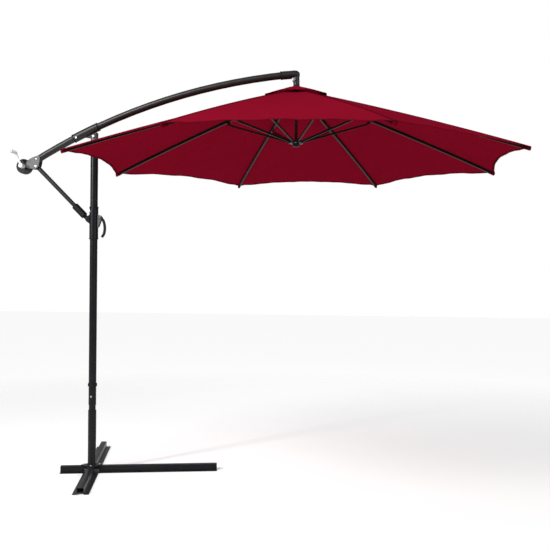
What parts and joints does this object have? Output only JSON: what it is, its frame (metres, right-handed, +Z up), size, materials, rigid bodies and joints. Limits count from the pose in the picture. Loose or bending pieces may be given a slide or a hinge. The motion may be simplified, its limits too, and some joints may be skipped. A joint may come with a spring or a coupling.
{
  "type": "cantilever patio umbrella",
  "caption": "Offset patio umbrella: octagonal vented canopy hung from a curved tilting arm on a pole with a steel cross base.",
  "frame": {"origin": "foot of the pole on the ground, under the crossing of the base's two bars", "axes": "+Z up, +X along the arm from the pole towards the canopy"},
  "size_m": [3.1123, 2.6238, 2.547],
  "materials": {
    "black_paint": "satin",
    "zinc_steel": "satin",
    "black_plastic": "satin",
    "hub_plastic": "satin",
    "grey_cast": "satin",
    "bronze_paint": "satin",
    "crank_metal": "gloss",
    "grip_plastic": "gloss",
    "rib_paint": "satin",
    "canopy_fabric": "matte"
  },
  "bodies": {
    "pole": {"base_bar_long": "black_paint", "base_bar_cross": "black_paint", "base_tie_plate": "black_paint", "base_bolt_1": "zinc_steel", "base_bolt_2": "zinc_steel", "base_bolt_3": "zinc_steel", "base_bolt_4": "zinc_steel", "pole_lower": "black_paint", "pole_joint_spigot": "black_paint", "pole_joint_collar": "black_plastic", "pole_joint_bolt": "zinc_steel", "pole_upper": "black_paint", "pole_top_bracket": "grey_cast", "arm_pivot_bolt": "zinc_steel"},
    "arm": {"arm_tube_lower": "bronze_paint", "arm_tube_upper": "bronze_paint", "arm_sleeve": "bronze_paint", "arm_sleeve_bolt": "zinc_steel", "arm_end_bracket": "grey_cast", "strut_top_bolt": "zinc_steel", "crank_housing_front": "black_plastic", "crank_housing_rear": "black_plastic", "elbow_casting": "bronze_paint", "drop_link": "bronze_paint", "crown_hub": "hub_plastic", "vent_cap": "canopy_fabric"},
    "crank": {"crank_arm": "crank_metal", "cord_spool": "black_plastic"},
    "crank_grip": {"crank_knob": "grip_plastic"},
    "slider": {"slider_sleeve": "black_paint", "lever_bracket": "grey_cast"},
    "lever": {"slider_lever": "black_plastic"},
    "strut": {"strut_foot": "black_paint", "strut_coupling": "black_plastic", "strut_tube": "bronze_paint"},
    "runner": {"runner_hub": "hub_plastic"},
    "rib_1": {"rib_1": "rib_paint", "canopy_panel_1": "canopy_fabric"},
    "stretcher_1": {"stretcher_1": "rib_paint"},
    "rib_2": {"rib_2": "rib_paint", "canopy_panel_2": "canopy_fabric"},
    "stretcher_2": {"stretcher_2": "rib_paint"},
    "rib_3": {"rib_3": "rib_paint", "canopy_panel_3": "canopy_fabric"},
    "stretcher_3": {"stretcher_3": "rib_paint"},
    "rib_4": {"rib_4": "rib_paint", "canopy_panel_4": "canopy_fabric"},
    "stretcher_4": {"stretcher_4": "rib_paint"},
    "rib_5": {"rib_5": "rib_paint", "canopy_panel_5": "canopy_fabric"},
    "stretcher_5": {"stretcher_5": "rib_paint"},
    "rib_6": {"rib_6": "rib_paint", "canopy_panel_6": "canopy_fabric"},
    "stretcher_6": {"stretcher_6": "rib_paint"},
    "rib_7": {"rib_7": "rib_paint", "canopy_panel_7": "canopy_fabric"},
    "stretcher_7": {"stretcher_7": "rib_paint"},
    "rib_8": {"rib_8": "rib_paint", "canopy_panel_8": "canopy_fabric"},
    "stretcher_8": {"stretcher_8": "rib_paint"}
  },
  "joints": [
    {"name": "arm_tilt", "type": "hinge", "parent": "pole", "child": "arm", "pos_m": [0, 0, 2.142], "axis": [0, -1, 0], "range_deg": [0, 12]},
    {"name": "slider_travel", "type": "slide", "parent": "pole", "child": "slider", "axis": [0, 0, -1], "range_m": [0, 0.1169]},
    {"name": "strut_swing", "type": "hinge", "parent": "slider", "child": "strut", "pos_m": [-0.04, 0, 1.615], "axis": [0, 1, 0], "range_deg": [0, 7.78]},
    {"name": "lever_squeeze", "type": "hinge", "parent": "slider", "child": "lever", "pos_m": [0.046, 0, 1.624], "axis": [0, 1, 0], "range_deg": [0, 7], "stiffness_Nm_per_rad": 1.5},
    {"name": "rib_fold_1", "type": "hinge", "parent": "arm", "child": "rib_1", "pos_m": [1.32434, 0.01339, 2.38683], "axis": [-0.3827, 0.9239, 0], "range_deg": [0, 64], "deforming": ["canopy_panel_1", "vent_cap"]},
    {"name": "stretcher_fold_1", "type": "hinge", "parent": "rib_1", "child": "stretcher_1", "pos_m": [1.7424, 0.18656, 2.24241], "axis": [-0.3827, 0.9239, 0], "range_deg": [-128, 0]},
    {"name": "rib_fold_2", "type": "hinge", "parent": "arm", "child": "rib_2", "pos_m": [1.30539, 0.03234, 2.38683], "axis": [-0.9239, 0.3827, 0], "range_deg": [0, 64], "deforming": ["canopy_panel_2"]},
    {"name": "stretcher_fold_2", "type": "hinge", "parent": "rib_2", "child": "stretcher_2", "pos_m": [1.47856, 0.4504, 2.24241], "axis": [-0.9239, 0.3827, 0], "range_deg": [-128, 0]},
    {"name": "rib_fold_3", "type": "hinge", "parent": "arm", "child": "rib_3", "pos_m": [1.27861, 0.03234, 2.38683], "axis": [-0.9239, -0.3827, 0], "range_deg": [0, 64], "deforming": ["canopy_panel_3"]},
    {"name": "stretcher_fold_3", "type": "hinge", "parent": "rib_3", "child": "stretcher_3", "pos_m": [1.10544, 0.4504, 2.24241], "axis": [-0.9239, -0.3827, 0], "range_deg": [-128, 0]},
    {"name": "rib_fold_4", "type": "hinge", "parent": "arm", "child": "rib_4", "pos_m": [1.25966, 0.01339, 2.38683], "axis": [-0.3827, -0.9239, 0], "range_deg": [0, 64], "deforming": ["canopy_panel_4"]},
    {"name": "stretcher_fold_4", "type": "hinge", "parent": "rib_4", "child": "stretcher_4", "pos_m": [0.8416, 0.18656, 2.24241], "axis": [-0.3827, -0.9239, 0], "range_deg": [-128, 0]},
    {"name": "rib_fold_5", "type": "hinge", "parent": "arm", "child": "rib_5", "pos_m": [1.25966, -0.01339, 2.38683], "axis": [0.3827, -0.9239, 0], "range_deg": [0, 64], "deforming": ["canopy_panel_5"]},
    {"name": "stretcher_fold_5", "type": "hinge", "parent": "rib_5", "child": "stretcher_5", "pos_m": [0.8416, -0.18656, 2.24241], "axis": [0.3827, -0.9239, 0], "range_deg": [-128, 0]},
    {"name": "rib_fold_6", "type": "hinge", "parent": "arm", "child": "rib_6", "pos_m": [1.27861, -0.03234, 2.38683], "axis": [0.9239, -0.3827, 0], "range_deg": [0, 64], "deforming": ["canopy_panel_6"]},
    {"name": "stretcher_fold_6", "type": "hinge", "parent": "rib_6", "child": "stretcher_6", "pos_m": [1.10544, -0.4504, 2.24241], "axis": [0.9239, -0.3827, 0], "range_deg": [-128, 0]},
    {"name": "rib_fold_7", "type": "hinge", "parent": "arm", "child": "rib_7", "pos_m": [1.30539, -0.03234, 2.38683], "axis": [0.9239, 0.3827, 0], "range_deg": [0, 64], "deforming": ["canopy_panel_7"]},
    {"name": "stretcher_fold_7", "type": "hinge", "parent": "rib_7", "child": "stretcher_7", "pos_m": [1.47856, -0.4504, 2.24241], "axis": [0.9239, 0.3827, 0], "range_deg": [-128, 0]},
    {"name": "rib_fold_8", "type": "hinge", "parent": "arm", "child": "rib_8", "pos_m": [1.32434, -0.01339, 2.38683], "axis": [0.3827, 0.9239, 0], "range_deg": [0, 64], "deforming": ["canopy_panel_8"]},
    {"name": "stretcher_fold_8", "type": "hinge", "parent": "rib_8", "child": "stretcher_8", "pos_m": [1.7424, -0.18656, 2.24241], "axis": [0.3827, 0.9239, 0], "range_deg": [-128, 0]},
    {"name": "runner_slide", "type": "hinge", "parent": "stretcher_1", "child": "runner", "pos_m": [1.32434, 0.01339, 2.098], "axis": [-0.3827, 0.9239, 0], "range_deg": [0, 64]},
    {"name": "crank_turn", "type": "hinge", "parent": "arm", "child": "crank", "pos_m": [-0.46, 0, 1.952], "axis": [0, -1, 0], "range_deg": [0, 1440]},
    {"name": "crank_grip_spin", "type": "hinge", "parent": "crank", "child": "crank_grip", "pos_m": [-0.49742, -0.105, 2.03605], "axis": [0, 1, 0], "continuous": true}
  ],
  "couplings": [
    {"joint": "slider_travel", "follows": "arm_tilt", "m_per_rad": 0.55337},
    {"joint": "strut_swing", "follows": "arm_tilt", "ratio": 0.64013},
    {"joint": "stretcher_fold_1", "follows": "rib_fold_1", "ratio": -2},
    {"joint": "rib_fold_2", "follows": "rib_fold_1", "ratio": 1},
    {"joint": "stretcher_fold_2", "follows": "rib_fold_1", "ratio": -2},
    {"joint": "rib_fold_3", "follows": "rib_fold_1", "ratio": 1},
    {"joint": "stretcher_fold_3", "follows": "rib_fold_1", "ratio": -2},
    {"joint": "rib_fold_4", "follows": "rib_fold_1", "ratio": 1},
    {"joint": "stretcher_fold_4", "follows": "rib_fold_1", "ratio": -2},
    {"joint": "rib_fold_5", "follows": "rib_fold_1", "ratio": 1},
    {"joint": "stretcher_fold_5", "follows": "rib_fold_1", "ratio": -2},
    {"joint": "rib_fold_6", "follows": "rib_fold_1", "ratio": 1},
    {"joint": "stretcher_fold_6", "follows": "rib_fold_1", "ratio": -2},
    {"joint": "rib_fold_7", "follows": "rib_fold_1", "ratio": 1},
    {"joint": "stretcher_fold_7", "follows": "rib_fold_1", "ratio": -2},
    {"joint": "rib_fold_8", "follows": "rib_fold_1", "ratio": 1},
    {"joint": "stretcher_fold_8", "follows": "rib_fold_1", "ratio": -2},
    {"joint": "runner_slide", "follows": "rib_fold_1", "ratio": 1},
    {"joint": "crank_turn", "follows": "rib_fold_1", "ratio": 22.5}
  ]
}
